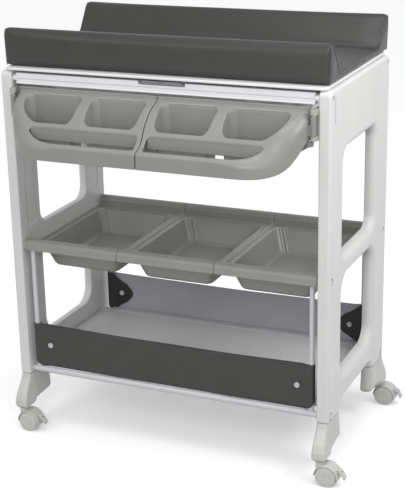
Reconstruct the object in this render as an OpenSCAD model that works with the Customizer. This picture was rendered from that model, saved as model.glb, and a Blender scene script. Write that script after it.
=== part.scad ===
// Baby changing table on castors: two moulded side frames, tube cross members, a bath under a
// hinged top, two swing-out organisers, three lift-off trays and an open shelf with soft panels.
// X runs to the right, Y to the back and Z up. The floor is z = 0.

/* [Side frames] */
// Width over both side frames
frame_w = 806; // [800:2:820]
// Depth over the front and rear legs
frame_d = 436; // [430:2:442]
// Thickness of a side frame
side_t = 28; // [25:1:30]
// Width of a leg, seen from the side
leg_w = 97; // [92:1:100]
// Height of the side frames
side_top = 906.5; // [905:0.5:906.5]
// Lower edge of the panel beside the bath
panel_z = 758; // [750:1:764]
// Lower and upper edge of the middle rail
mid_rail_z = [461, 511]; // [455:1:520]
// Lower and upper edge of the bottom rail
low_rail_z = [157, 221]; // [155:1:235]
// Height of the joint between leg and foot
foot_z = 142; // [138:1:146]

/* [Castors] */
// Diameter of a castor wheel
wheel_d = 50; // [48:0.5:50]
// Distance from the swivel axis to the wheel axle
castor_trail = 18; // [16:0.5:19]
// Distance of the swivel axes from the middle, front to back
castor_y = 234; // [232:1:235]

/* [Tubes] */
// Radius of the tubes that carry the trays
tray_tube_r = 9; // [8:0.5:9]
// Radius of the upright tubes
post_r = 6; // [5:0.5:6.5]
// Radius of the tubes under the shelf
shelf_tube_r = 8; // [7:0.5:8]
// Distance of the tubes from the middle, front to back
tube_y = 198; // [197:0.5:199]

/* [Trays] */
// Width of the opening of a tray
tray_open_w = 212; // [190:2:220]
// Width of the floor of a tray
tray_floor_w = 168; // [140:2:180]
// Height of the underside of a tray
tray_floor_z = 410; // [400:1:425]

/* [Organisers] */
// Depth of an organiser in front of the hinge side
organiser_front = 342; // [336:1:348]
// Height of the bottom edge of an organiser
organiser_z = 736; // [730:1:740]
// Radius of the outer front corner, seen from above
organiser_corner = 134; // [120:2:138]

/* [Top] */
// Height of the upper face of the board under the mat
board_z = 915; // [914:0.5:918]
// Height of the side walls of the mat
mat_top = 1004; // [985:1:1010]
// Height of the flat middle of the mat
mat_mid = 930; // [925:1:940]

/* [Shelf] */
// Height of the shelf floor
shelf_z = 177; // [176:1:180]
// Height of the top edge of the soft panels
soft_top = 275; // [255:1:280]

/* [Hidden] */
$fn = 64;
half_w = frame_w / 2;
inner_x = half_w - side_t;
half_d = frame_d / 2;
leg_y = half_d - leg_w;
castor_x = inner_x + 15;
stem_r = 4.9;
stem_bore_r = 5;
foot_bottom = 57.5;
wheel_r = wheel_d / 2;
wheel_in = 7.5;
wheel_out = 20;
hood_r = wheel_r + 3.5;
axle_r = 3;
pedal_x = castor_trail + 30.4;
pedal_z = wheel_r + 14.2;
pedal_tip = castor_trail + 45;
bar_z = [877, 903];
bar_y = [195, 212.5];
bar_end = 365;
tray_tube_z = 478;
shelf_tube_z = 153;
post_x = 357;
socket_t = 3;
socket_x = inner_x - socket_t;
tray_deck_z = 470;
tray_w = 247;
tray_pitch = 247.5;
tub_front = 158;
tub_back = 150;
rail_top_r = 14;
rail_z = 467;
wall = 3;
hinge_x = 366;
hinge_y = 227;
hinge_r = 3;
knuckle_r = 6.5;
knuckle_z = [812.5, 855];
organiser_back = 213;
organiser_end = 359;
bin_spans = [[18.5, 154], [178, 321]];
bin_corners = [15, 50];
bin_y = [228.5, 296];
bin_z = 742;
rail_slot_x = [11, 284];
rail_slot_y = [300, 330.5];
slot_curve_x = 208;
slot_curve_r = 120.5;
lid_y = 218;
lid_z = 902;
lid_pin_r = 2.5;
lid_knuckle_r = 4.4;
lid_hinge_x = [-260, 260];
mat_half = 396;
sheet_t = 3;
sleeve_r = 8.8;
stud_x = 322;
stud_z = 220;
plug_x = 180;

// Middle of the whole object, so that the origin lies under the middle of its box
mid_x = (castor_x + pedal_tip - castor_x - 14) / 2;
mid_y = (castor_y + wheel_out - organiser_front) / 2;

CORNERS = [
    ["front_left", -1, -1],
    ["front_right", 1, -1],
    ["rear_left", -1, 1],
    ["rear_right", 1, 1],
];

// Moves the whole model so that its origin is under its middle
module centred() {
    translate([-mid_x, -mid_y, 0]) children();
}

// Puts a right-hand shape on the side s, and a rear shape on the side t
module at_side(s, t = 1) {
    scale_x = s < 0 ? 1 : 0;
    scale_y = t < 0 ? 1 : 0;
    mirror([scale_x, 0, 0]) mirror([0, scale_y, 0]) children();
}

// A flat outline in the YZ plane, extruded along X from x0 over the length
module along_x(x0, length) {
    translate([x0, 0, 0]) rotate([90, 0, 90]) linear_extrude(height = length) children();
}

// A flat outline in the XZ plane, extruded along Y from y0 over the length
module along_y(y0, length) {
    translate([0, y0 + length, 0]) rotate([90, 0, 0]) linear_extrude(height = length) children();
}

// A round bar along X
module round_x(x0, x1, y, z, r) {
    translate([x0, y, z]) rotate([0, 90, 0]) cylinder(h = x1 - x0, r = r);
}

// A round bar along Y
module round_y(y0, y1, x, z, r) {
    translate([x, y0, z]) rotate([-90, 0, 0]) cylinder(h = y1 - y0, r = r);
}

// A box from its lowest to its highest corner
module block(low, high) {
    translate(low) cube(high - low);
}

// A rectangle with round corners
module round_rect(low, high, r) {
    translate([low[0] + r, low[1]]) square([high[0] - low[0] - 2 * r, high[1] - low[1]]);
    translate([low[0], low[1] + r]) square([high[0] - low[0], high[1] - low[1] - 2 * r]);
    for (x = [low[0] + r, high[0] - r], y = [low[1] + r, high[1] - r]) {
        translate([x, y]) circle(r = r);
    }
}

// A flat slab with round corners, for hulls
module round_slab(low, high, r, z, t = 0.1) {
    translate([0, 0, z]) linear_extrude(height = t) round_rect(low, high, r, $fn = 32);
}

module side_outline() {
    difference() {
        union() {
            translate([-half_d, foot_z]) square([frame_d, side_top - foot_z - 14]);
            round_rect([-half_d, side_top - 60], [half_d, side_top], 14);
        }
        round_rect([-leg_y, mid_rail_z[1]], [leg_y, panel_z], 30);
        round_rect([-leg_y, low_rail_z[1]], [leg_y, mid_rail_z[0]], 40);
        round_rect([-leg_y, foot_z - 60], [leg_y, low_rail_z[0]], 24);
    }
}

// One side frame, with shallow channels on the inner faces of the legs
module side_frame(s) {
    color("whitesmoke") at_side(s) difference() {
        along_x(inner_x, side_t) side_outline();
        for (y = [-half_d + 34, leg_y + 10]) {
            for (span = [[238, 455], [521, 748]]) {
                block([inner_x - 1, y, span[0]], [inner_x + 2, y + leg_w - 44, span[1]]);
            }
        }
        for (y = [-half_d + 32, half_d - 84]) {
            block([inner_x + 7, y, foot_z - 1], [inner_x + 18, y + 52, foot_z + 31]);
        }
        for (y = [-tube_y, tube_y], z = [shelf_tube_z, tray_tube_z]) {
            round_x(inner_x - 1, half_w + 1, y, z, 3.2);
            round_x(half_w - 5, half_w + 1, y, z, 6.2);
        }
        for (y = [-204, 204]) {
            round_x(inner_x - 1, half_w + 1, y, 890, 3.2);
            round_x(half_w - 5, half_w + 1, y, 890, 6.2);
        }
    }
}

// One foot: a curved boot under the leg with a tongue into it and the socket of the castor
module foot(s, t) {
    rear = half_d - leg_w;
    color("ivory") at_side(s, t) difference() {
        union() {
            along_x(inner_x, side_t) polygon([
                [half_d, foot_z], [rear, foot_z], [rear, 79], [rear + 3, 72], [rear + 11, 69],
                [194, 67], [203, foot_bottom], [castor_y + 10, foot_bottom], [251, 64],
                [250, 80], [243, 98], [231, 116], [222, 130],
            ]);
            translate([castor_x, castor_y, foot_bottom]) cylinder(h = 34, r = 14);
            block([inner_x + 7.5, half_d - 83.5, foot_z - 1], [inner_x + 17.5, half_d - 32.5, foot_z + 30]);
        }
        translate([castor_x, castor_y, foot_bottom - 1]) cylinder(h = 42, r = stem_bore_r);
    }
}

// Places a castor's own frame, with its swivel axis at the middle, under a foot
module at_castor(s, t) {
    translate([s * castor_x, t * castor_y, 0]) children();
}

// Hood, web, neck, stem and the ear that carries the brake pedal
module castor_housing(s, t) {
    color("ivory") at_castor(s, t) {
        difference() {
            union() {
                round_y(-19, 19, castor_trail, wheel_r, hood_r);
                translate([0, 0, 40]) cylinder(h = 16.5, r = 10);
                along_y(-3.4, 6.8) polygon([
                    [pedal_x - 9, pedal_z - 7], [pedal_x, pedal_z - 4],
                    [pedal_x, pedal_z + 4], [pedal_x - 9, pedal_z + 7],
                ]);
                round_y(-3.4, 3.4, pedal_x, pedal_z, 4);
            }
            for (y = [-21, 6.5]) {
                round_y(y, y + 14.5, castor_trail, wheel_r, wheel_r + 1);
            }
            block([-20, -25, -10], [80, 25, 12]);
            round_y(-10, 10, castor_trail, wheel_r, axle_r + 0.05);
        }
        translate([0, 0, 54]) cylinder(h = 42, r = stem_r);
        round_y(-8, 8, pedal_x, pedal_z, 2);
    }
}

module castor_axle(s, t) {
    color("silver") at_castor(s, t) round_y(-18.3, 18.3, castor_trail, wheel_r, axle_r);
}

// Twin wheels that turn on the axle
module castor_wheels(s, t) {
    color("ivory") at_castor(s, t) for (side = [-1, 1]) {
        mirror([0, side < 0 ? 1 : 0, 0]) difference() {
            round_y(wheel_in, wheel_out, castor_trail, wheel_r, wheel_r);
            round_y(wheel_in - 1, wheel_out - 1.5, castor_trail, wheel_r, axle_r + 0.1);
        }
    }
}

// Brake pedal: two cheeks on the pin and a tab to step on
module castor_brake(s, t) {
    color("ivory") at_castor(s, t) {
        difference() {
            for (y = [-7.5, 4]) {
                round_y(y, y + 3.5, pedal_x, pedal_z, 4.3);
                along_y(y, 3.5) polygon([
                    [pedal_x - 2, pedal_z - 3], [pedal_x + 1, pedal_z + 4.2],
                    [pedal_x + 8.5, pedal_z - 5], [pedal_x + 4.6, pedal_z - 9],
                ]);
            }
            round_y(-10, 10, pedal_x, pedal_z, 2.1);
        }
        along_y(-7.5, 15) polygon([
            [pedal_x + 3.3, pedal_z - 5], [pedal_x + 7.1, pedal_z - 1.7],
            [pedal_tip, pedal_z - 15], [pedal_tip - 1.5, pedal_z - 19.5], [pedal_tip - 5.5, pedal_z - 17.5],
        ]);
    }
}

// Flat bar with stepped ends, front or rear under the board
module top_bar(t) {
    color("lavender") at_side(1, t) difference() {
        union() {
            block([-bar_end, bar_y[0], bar_z[0]], [bar_end, bar_y[1], bar_z[1]]);
            for (s = [-1, 1]) at_side(s) {
                round_x(bar_end - 1, inner_x, 204, 890, 7.5);
            }
        }
        for (s = [-1, 1]) at_side(s) {
            round_x(bar_end - 12, inner_x + 1, 204, 890, 3.05);
        }
        if (t < 0) {
            block([-49, bar_y[0] + 3.5, 896], [64, bar_y[1] + 1, 904]);
        }
    }
}

module plain_tube(y, z, r) {
    color("lavender") difference() {
        round_x(-socket_x, socket_x, y, z, r);
        round_x(-socket_x - 1, socket_x + 1, y, z, r - 1.5);
    }
}

// Upright tube between the shelf tube and the tray tube
module post(s, t) {
    y = t * tube_y;
    color("lavender") difference() {
        translate([s * post_x, y, shelf_tube_z]) {
            cylinder(h = tray_tube_z - shelf_tube_z, r = post_r);
        }
        round_x(-inner_x, inner_x, y, tray_tube_z, tray_tube_r + 0.05);
        round_x(-inner_x, inner_x, y, shelf_tube_z, shelf_tube_r + 0.05);
    }
}

// Plugs in the ends of the tray and shelf tubes, with flanges against one side frame
module tube_sockets(s) {
    color("gainsboro") at_side(s) for (y = [-tube_y, tube_y]) {
        for (tube = [[tray_tube_z, tray_tube_r], [shelf_tube_z, shelf_tube_r]]) {
            difference() {
                union() {
                    round_x(socket_x, inner_x, y, tube[0], tube[1] + 2);
                    round_x(socket_x - 20, socket_x + 1, y, tube[0], tube[1] - 1.55);
                }
                round_x(socket_x - 21, inner_x + 1, y, tube[0], 3.05);
            }
        }
    }
}

// Screws through one side frame into the bars and tubes
module frame_screws(s) {
    color("silver") at_side(s) {
        for (y = [-tube_y, tube_y], z = [shelf_tube_z, tray_tube_z]) {
            round_x(inner_x - 15, half_w - 4, y, z, 3);
            round_x(half_w - 5, half_w - 2, y, z, 5.5);
        }
        for (y = [-204, 204]) {
            round_x(inner_x - 15, half_w - 4, y, 890, 3);
            round_x(half_w - 5, half_w - 2, y, 890, 5.5);
        }
    }
}

// Shelf floor, resting on the shoulders of the shelf tubes
module shelf_floor() {
    color("white") difference() {
        union() {
            block([-347, -193, 159.8], [347, 193, shelf_z]);
            block([-socket_x + 1, -184, 165], [socket_x - 1, 184, shelf_z]);
        }
        block([-343, -189, 150], [343, 189, shelf_z - 4]);
    }
}

// Soft panel stretched between two posts, with a sleeve around each
module soft_panel(t) {
    hem = 163.5;
    color("dimgray") at_side(1, t) difference() {
        union() {
            block([-post_x, tube_y - sheet_t / 2, hem], [post_x, tube_y + sheet_t / 2, soft_top]);
            for (s = [-1, 1]) {
                translate([s * post_x, tube_y, hem]) cylinder(h = soft_top - hem, r = sleeve_r);
            }
        }
        for (s = [-1, 1]) {
            translate([s * post_x, tube_y, hem - 1]) cylinder(h = soft_top, r = post_r + 0.3);
            round_y(tube_y - 9, tube_y + 9, s * stud_x, stud_z, 2.2);
        }
    }
}

// Ear-shaped tabs that fold round the posts to the inner face of a soft panel
module panel_tabs(t) {
    y1 = tube_y - sheet_t / 2 - 0.2;
    root = post_x - sleeve_r - 0.5;
    color("dimgray") at_side(1, t) for (s = [-1, 1]) at_side(s) difference() {
        along_y(y1 - 2, 2) union() {
            translate([stud_x - 10, stud_z]) circle(r = 22);
            polygon([
                [stud_x - 24, stud_z + 17], [stud_x, stud_z + 32], [root, soft_top - 1],
                [root, 168], [stud_x, stud_z - 32], [stud_x - 24, stud_z - 17],
            ]);
        }
        round_y(y1 - 5, y1 + 5, stud_x, stud_z, 2.2);
    }
}

// Press studs through the panels and their tabs
module press_studs() {
    outer = tube_y + sheet_t / 2;
    inner = tube_y - sheet_t / 2 - 2.2;
    color("lightgray") for (s = [-1, 1], t = [-1, 1]) at_side(s, t) {
        round_y(inner - 2, outer + 2, stud_x, stud_z, 2);
        round_y(outer, outer + 2.5, stud_x, stud_z, 6.5);
        round_y(inner - 2.5, inner, stud_x, stud_z, 6.5);
    }
}

// Rail of a tray: a hook that drops over a tube
module tray_rail(w) {
    along_x(-w / 2, w) difference() {
        union() {
            translate([tube_y, 480]) circle(r = rail_top_r);
            translate([tube_y - rail_top_r, rail_z]) square([2 * rail_top_r, 480 - rail_z]);
        }
        translate([tube_y, tray_tube_z]) circle(r = tray_tube_r + 0.4);
        translate([tube_y - tray_tube_r - 0.4, rail_z - 1]) square([2 * tray_tube_r + 0.8, 12]);
    }
}

// Tapered body of a tray, grown by g
module tub(g, floor_z) {
    top = tray_open_w / 2 + g;
    low = tray_floor_w / 2 + g;
    hull() {
        round_slab([-top, -tub_front - g], [top, tub_back + g], 16 + g, tray_deck_z - 0.1);
        round_slab([-low, -137 - g], [low, 125 + g], 16 + g, floor_z);
    }
}

module tray(i) {
    color("gray") translate([i * tray_pitch, 0, 0]) {
        difference() {
            union() {
                block([-tray_w / 2, -tube_y + 13, tray_deck_z - wall], [tray_w / 2, tube_y - 13, tray_deck_z]);
                tub(wall, tray_floor_z);
            }
            translate([0, 0, 0.2]) tub(0, tray_floor_z + wall);
        }
        at_side(1, -1) tray_rail(tray_w);
        tray_rail(tray_w);
    }
}

// Section of an organiser's shell, y to the front and z up
function organiser_line() = [
    [-organiser_back, 868], [-220, 865], [-238, 857.5], [-256, 849], [-272, 838], [-286, 825], [-297, 809],
    [-306, 794], [-317, 783], [-334, 774], [-organiser_front + 2, 770], [-organiser_front, 765],
];

module organiser_block(inset) {
    line = organiser_line();
    shape = [for (p = line) [p[0] + inset * 0.9, p[1] - inset]];
    intersection() {
        along_x(0.5, organiser_end) polygon(concat(
            shape,
            [
                [-organiser_front + inset, organiser_z - inset],
                [-organiser_back + 10 * inset, organiser_z - inset],
                [-organiser_back + 10 * inset, 868 - inset],
            ]
        ));
        translate([0, 0, 700]) linear_extrude(height = 200) {
            left = 0.5 + inset;
            right = organiser_end - inset;
            front = -organiser_front + inset;
            centre = [organiser_end - organiser_corner, -organiser_front + organiser_corner];
            translate([left, front]) square([centre[0] - left, 150]);
            translate([left, centre[1]]) square([right - left, 60]);
            translate(centre) circle(r = organiser_corner - inset);
        }
    }
}

// Tapered bin below opening i of the organiser, grown by g
module bin(i, g, floor_z) {
    span = bin_spans[i];
    corner = bin_corners[i];
    hull() for (level = [[0, 866], [1, floor_z]]) {
        in = level[0];
        x = [span[0] + 10 * in, span[1] - 10 * in];
        y = [-bin_y[1] + 6 * in, -bin_y[0] - 4 * in];
        translate([0, 0, level[1]]) linear_extrude(height = 0.1) {
            for (spot = [[x[0] + 15, y[0] + 15], [x[0] + 15, y[1] - 15], [x[1] - 15, y[1] - 15]]) {
                translate(spot) circle(r = 15 + g, $fn = 32);
            }
            translate([x[1] - corner, y[0] + corner]) circle(r = corner + g);
        }
    }
}

// Hand rail slot in front of the bins, its outer end following the shell
module rail_slot() {
    translate([0, 0, 760]) linear_extrude(height = 100) intersection() {
        round_rect([rail_slot_x[0], -rail_slot_y[1]], [rail_slot_x[1], -rail_slot_y[0]], 8);
        union() {
            translate([0, -rail_slot_y[1]]) square([slot_curve_x, 40]);
            translate([slot_curve_x, slot_curve_r - rail_slot_y[1]]) circle(r = slot_curve_r);
        }
    }
}

// One organiser: shell, two bins, slot, and a knuckle around the hinge pin
module organiser(s) {
    color("darkgray") at_side(s) difference() {
        union() {
            difference() {
                organiser_block(0);
                organiser_block(wall);
            }
            intersection() {
                organiser_block(0);
                union() {
                    for (i = [0, 1]) bin(i, 2.5, bin_z);
                    block(
                        [rail_slot_x[0], -rail_slot_y[0], 767],
                        [rail_slot_x[1] - 2, -rail_slot_y[0] + 2.2, 812]
                    );
                }
            }
            translate([hinge_x, -hinge_y, knuckle_z[0]]) {
                cylinder(h = knuckle_z[1] - knuckle_z[0], r = knuckle_r);
            }
            block([organiser_end - 4, -hinge_y - 5, knuckle_z[0]], [hinge_x, -hinge_y + 5, knuckle_z[1]]);
            along_y(-hinge_y - 4, 9) polygon([[330, 806], [330, 772], [358, 789], [362, 789], [362, 800.5]]);
        }
        for (i = [0, 1]) translate([0, 0, 0.3]) bin(i, 0, bin_z + 2.5);
        rail_slot();
        along_y(-organiser_front - 1, 140) polygon([
            [262, organiser_z - 2], [295, organiser_z + 2.5], [317, 744.5], [328, 751.5], [336, 760],
            [342, 770], [348, 784], [354, 796], [organiser_end + 1, 812], [375, 812],
            [375, organiser_z - 2],
        ]);
        translate([hinge_x, -hinge_y, 700]) cylinder(h = 200, r = hinge_r + 0.1);
    }
}

// Bracket on the side frame: a plate with a lug above and below the organiser's knuckle
module hinge_bracket(s) {
    color("antiquewhite") at_side(s) difference() {
        union() {
            block([369, -216, 802], [inner_x, -186, 870]);
            for (z = [802, 858]) {
                translate([hinge_x, -hinge_y, z]) cylinder(h = z < 850 ? 10 : 12, r = knuckle_r);
                block([hinge_x - 2, -hinge_y, z], [inner_x, -190, z < 850 ? 812 : 870]);
            }
        }
        translate([hinge_x, -hinge_y, 700]) cylinder(h = 200, r = hinge_r + 0.05);
    }
}

module hinge_pin(s) {
    color("silver") at_side(s) translate([hinge_x, -hinge_y, 801.5]) cylinder(h = 69, r = hinge_r);
}

// Bath body between two depths, grown by g
module bath_body(g, floor_z) {
    hull() {
        round_slab([-346 - g, -180 - g], [346 + g, 180 + g], 60, 896);
        round_slab([-262 - g, -118 - g], [262 + g, 118 + g], 60, floor_z);
    }
}

// Bath with a flat rim and a drain hole
module bath() {
    color("white") difference() {
        union() {
            bath_body(wall, 742);
            translate([0, 0, 894]) linear_extrude(height = 4) round_rect([-370, -193], [370, 193], 20);
        }
        translate([0, 0, 0.1]) bath_body(0, 742 + wall);
        translate([0, 0, 895.9]) linear_extrude(height = 4) round_rect([-346, -180], [346, 180], 60);
        translate([plug_x, 0, 730]) cylinder(h = 30, r = 14);
    }
}

module bath_plug() {
    color("gray") translate([plug_x, 0, 0]) {
        translate([0, 0, 738]) cylinder(h = 8, r = 13.6);
        translate([0, 0, 745.3]) cylinder(h = 4, r = 19);
        translate([0, 0, 749]) cylinder(h = 10, r = 4);
    }
}

// Ledges on the side frames that carry the ends of the bath's rim
module bath_ledges() {
    color("whitesmoke") for (s = [-1, 1]) at_side(s) {
        block([355, -150, 886], [inner_x, 150, 893.8]);
    }
}

module top_board() {
    color("white") translate([0, 0, 907]) linear_extrude(height = board_z - 907) {
        round_rect([-392, -217], [392, 222], 14);
    }
}

// Wedge-walled mat: a front and a rear wall with a flat middle
module changing_mat() {
    color("darkslategray") along_x(-mat_half, 2 * mat_half) polygon([
        [-200, board_z], [-200, mat_top - 10], [-196, mat_top - 3], [-188, mat_top], [-176, mat_top - 4],
        [-130, mat_mid + 8], [-112, mat_mid], [145, mat_mid], [163, mat_mid + 8],
        [208, mat_top - 4], [220, mat_top], [228, mat_top - 3], [232, mat_top - 10], [232, board_z],
    ]);
}

// Hinge leaves under the rear edge of the board, each with a knuckle on the pin
module lid_leaves() {
    color("silver") for (x = lid_hinge_x) difference() {
        union() {
            block([x - 12, 180, 905], [x + 12, lid_y, 907]);
            round_x(x - 12, x + 12, lid_y, lid_z, lid_knuckle_r);
            block([x - 12, lid_y - 2, lid_z], [x + 12, lid_y + 2, 907]);
        }
        round_x(x - 13, x + 13, lid_y, lid_z, lid_pin_r + 0.1);
    }
}

// Fixed knuckles on the rear bar, with the pins of the lid
module lid_knuckles() {
    color("silver") for (x = lid_hinge_x) {
        for (x0 = [x - 24.5, x + 12.5]) {
            round_x(x0, x0 + 12, lid_y, lid_z, lid_knuckle_r);
            block([x0, bar_y[1], 880], [x0 + 12, lid_y, lid_z]);
        }
        round_x(x - 24.5, x + 24.5, lid_y, lid_z, lid_pin_r);
    }
}

// Push latch in the front bar
module latch_handle() {
    color("slategray") union() {
        block([-47.5, -bar_y[1] - 2, 897], [62.5, -bar_y[0] - 8, 902]);
        block([-40, -bar_y[1] - 2, 902], [55, -bar_y[0] - 12, 905.5]);
    }
}

centred() side_frame(-1);  // side_frame_left
centred() side_frame(1);  // side_frame_right
for (c = CORNERS) {
    centred() foot(c[1], c[2]);
    centred() castor_housing(c[1], c[2]);
    centred() castor_axle(c[1], c[2]);
    centred() castor_wheels(c[1], c[2]);
    centred() castor_brake(c[1], c[2]);
    centred() post(c[1], c[2]);
}
centred() top_bar(-1);  // top_front_bar
centred() top_bar(1);  // top_rear_bar
centred() plain_tube(-tube_y, tray_tube_z, tray_tube_r);  // tray_front_tube
centred() plain_tube(tube_y, tray_tube_z, tray_tube_r);  // tray_rear_tube
centred() plain_tube(-tube_y, shelf_tube_z, shelf_tube_r);  // shelf_front_tube
centred() plain_tube(tube_y, shelf_tube_z, shelf_tube_r);  // shelf_rear_tube
centred() tube_sockets(-1);  // tube_sockets_left
centred() tube_sockets(1);  // tube_sockets_right
centred() frame_screws(-1);  // frame_screws_left
centred() frame_screws(1);  // frame_screws_right
centred() shelf_floor();
centred() soft_panel(-1);  // front_panel
centred() soft_panel(1);  // rear_panel
centred() panel_tabs(-1);  // front_panel_tabs
centred() panel_tabs(1);  // rear_panel_tabs
centred() press_studs();
centred() tray(-1);  // tray_left
centred() tray(0);  // tray_middle
centred() tray(1);  // tray_right
centred() organiser(-1);  // organiser_left
centred() organiser(1);  // organiser_right
centred() hinge_bracket(-1);  // hinge_bracket_left
centred() hinge_bracket(1);  // hinge_bracket_right
centred() hinge_pin(-1);  // hinge_pin_left
centred() hinge_pin(1);  // hinge_pin_right
centred() bath();
centred() bath_plug();
centred() bath_ledges();
centred() top_board();
centred() changing_mat();
centred() lid_leaves();
centred() lid_knuckles();
centred() latch_handle();
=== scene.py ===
"""Looks for the changing table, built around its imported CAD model.

Shapes are given in millimetres in the table's own axes: X to the right, Y to the back and Z up from
the floor, with the origin midway between the legs. Moulded pieces are fields, functions that give
the distance to a surface, and surface() turns a field into a mesh.
"""

import math

import bpy
import numpy as np
from mathutils import Matrix, Vector


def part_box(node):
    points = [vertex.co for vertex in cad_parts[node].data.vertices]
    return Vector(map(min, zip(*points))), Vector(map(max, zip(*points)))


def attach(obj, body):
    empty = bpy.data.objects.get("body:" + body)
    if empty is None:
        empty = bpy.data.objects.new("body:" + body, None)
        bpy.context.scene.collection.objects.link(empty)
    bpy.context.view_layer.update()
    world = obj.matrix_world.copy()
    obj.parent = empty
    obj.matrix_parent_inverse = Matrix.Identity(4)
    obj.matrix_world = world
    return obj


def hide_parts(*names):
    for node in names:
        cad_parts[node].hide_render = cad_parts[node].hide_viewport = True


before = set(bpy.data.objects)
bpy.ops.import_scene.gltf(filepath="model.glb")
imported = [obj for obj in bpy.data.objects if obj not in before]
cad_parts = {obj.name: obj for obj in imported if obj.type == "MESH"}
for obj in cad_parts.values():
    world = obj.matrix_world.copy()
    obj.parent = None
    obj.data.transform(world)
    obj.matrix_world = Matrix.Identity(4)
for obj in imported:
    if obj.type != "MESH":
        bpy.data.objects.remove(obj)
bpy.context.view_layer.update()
SIDE_BOXES = [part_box("side_frame_left"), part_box("side_frame_right")]
ORIGIN = np.array([
    (SIDE_BOXES[0][0].x + SIDE_BOXES[1][1].x) / 2,
    (SIDE_BOXES[0][0].y + SIDE_BOXES[0][1].y) / 2,
    0.0,
])
SIDES = {"left": -1, "right": 1}
CORNERS = {"front_left": (-1, -1), "front_right": (1, -1), "rear_left": (-1, 1), "rear_right": (1, 1)}

# ---------------------------------------------------------------------------------------------
# Fields: distances in mm, negative inside
# ---------------------------------------------------------------------------------------------


def length(*parts):
    return np.sqrt(sum(part * part for part in parts))


def slab(w, low, high):
    """The layer from low to high."""
    return abs(w - (low + high) / 2) - (high - low) / 2


def both(a, b, r=0.0):
    """Where both fields are inside, with the edge between them rounded to radius r."""
    if np.all(r == 0):
        return np.maximum(a, b)
    return np.minimum(np.maximum(a, b), -r) + length(np.maximum(a + r, 0), np.maximum(b + r, 0))


def either(a, b, r=0.0):
    """Where either field is inside, with a fillet of radius r between them."""
    return -both(-a, -b, r)


def cut(a, b, r=0.0):
    """The first field without the second, with the edge rounded to radius r."""
    return both(a, -b, r)


def rect(u, v, low, high, r=0.0):
    """A rectangle in the plane of u and v, with corners of radius r."""
    return both(slab(u, low[0], high[0]), slab(v, low[1], high[1]), r)


def polygon(u, v, points):
    """The inside of a closed outline."""
    nearest = np.full(u.shape, 1e9)
    sign = np.ones(u.shape)
    for (u0, v0), (u1, v1) in zip(points, points[1:] + points[:1]):
        du, dv = u1 - u0, v1 - v0
        along = np.clip(((u - u0) * du + (v - v0) * dv) / (du * du + dv * dv), 0, 1)
        nearest = np.minimum(nearest, length(u - u0 - along * du, v - v0 - along * dv))
        side = du * (v - v0) - dv * (u - u0)
        crosses = ((v >= v0) & (v < v1) & (side > 0)) | ((v < v0) & (v >= v1) & (side < 0))
        sign = np.where(crosses, -sign, sign)
    return sign * nearest


def smooth_line(w, places, heights, blur):
    """Heights along a line through the given places, with its corners smoothed over blur."""
    shifts = np.linspace(-blur, blur, 7)
    return sum(np.interp(w + shift, places, heights) for shift in shifts) / len(shifts)


# ---------------------------------------------------------------------------------------------
# Meshes
# ---------------------------------------------------------------------------------------------


def net(field, low, high, step):
    """The surface of a field as vertices and quads, by surface nets."""
    low, high, step = (np.array(v, float) * np.ones(3) for v in (low, high, step))
    axes = [np.arange(a - s, b + 2 * s, s) for a, b, s in zip(low, high, step)]
    value = field(*np.meshgrid(*axes, indexing="ij"))
    cells = np.array(value.shape) - 1
    total = np.zeros((*cells, 3))
    count = np.zeros(cells)
    crossings = []
    for axis in range(3):
        turned = np.moveaxis(value, axis, 0)
        first, second = turned[:-1], turned[1:]
        crosses = (first < 0) != (second < 0)
        with np.errstate(divide="ignore", invalid="ignore"):
            part = np.where(crosses, first / (first - second), 0)
        others = [a for a in range(3) if a != axis]
        for shift_a in (0, 1):
            for shift_b in (0, 1):
                window = (
                    slice(None),
                    slice(shift_a, shift_a + cells[others[0]]),
                    slice(shift_b, shift_b + cells[others[1]]),
                )
                mask = np.moveaxis(crosses[window], 0, axis)
                total[..., axis] += np.moveaxis(part[window], 0, axis) * mask
                total[..., others[0]] += shift_a * mask
                total[..., others[1]] += shift_b * mask
                count += mask
        crossings.append((axis, others, np.moveaxis(crosses, 0, axis), value))
    used = count > 0
    index = np.full(cells, -1)
    index[used] = np.arange(used.sum())
    corner = np.stack(np.nonzero(used), axis=1)
    start = np.array([a[0] for a in axes])
    points = start + (corner + total[used] / count[used][:, None]) * step
    quads = []
    for axis, (a, b), crosses, grid in crossings:
        edges = np.stack(np.nonzero(crosses), axis=1)
        within_a = (edges[:, a] > 0) & (edges[:, a] < cells[a])
        within_b = (edges[:, b] > 0) & (edges[:, b] < cells[b])
        edges = edges[within_a & within_b]
        ring = []
        for back_a, back_b in ((1, 1), (0, 1), (0, 0), (1, 0)):
            cell = edges.copy()
            cell[:, a] -= back_a
            cell[:, b] -= back_b
            ring.append(index[tuple(cell.T)])
        ring = np.stack(ring, axis=1)
        flip = (grid[tuple(edges.T)] < 0) == (axis == 1)
        ring[flip] = ring[flip][:, ::-1]
        quads.append(ring)
    return settle(field, points, step), np.concatenate(quads)


def settle(field, points, step, rounds=3):
    """Moves points of a net onto the surface of its field."""
    small = 0.05
    for _ in range(rounds):
        slope = np.stack([
            (field(*(points + d).T) - field(*(points - d).T)) / (2 * small) for d in small * np.eye(3)
        ], axis=1)
        move = field(*points.T)[:, None] * slope / np.maximum((slope ** 2).sum(1), 0.25)[:, None]
        points = points - np.clip(move, -0.4 * step, 0.4 * step)
    return points


def mesh_object(name, points, faces, smooth=True):
    """A mesh object from points in mm in the table's axes."""
    mesh = bpy.data.meshes.new(name)
    places = np.asarray(points, float) / 1000 + ORIGIN
    mesh.from_pydata(places.tolist(), [], faces.tolist() if isinstance(faces, np.ndarray) else faces)
    mesh.validate()
    for face in mesh.polygons:
        face.use_smooth = smooth
    obj = bpy.data.objects.new(name, mesh)
    bpy.context.scene.collection.objects.link(obj)
    return obj


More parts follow.
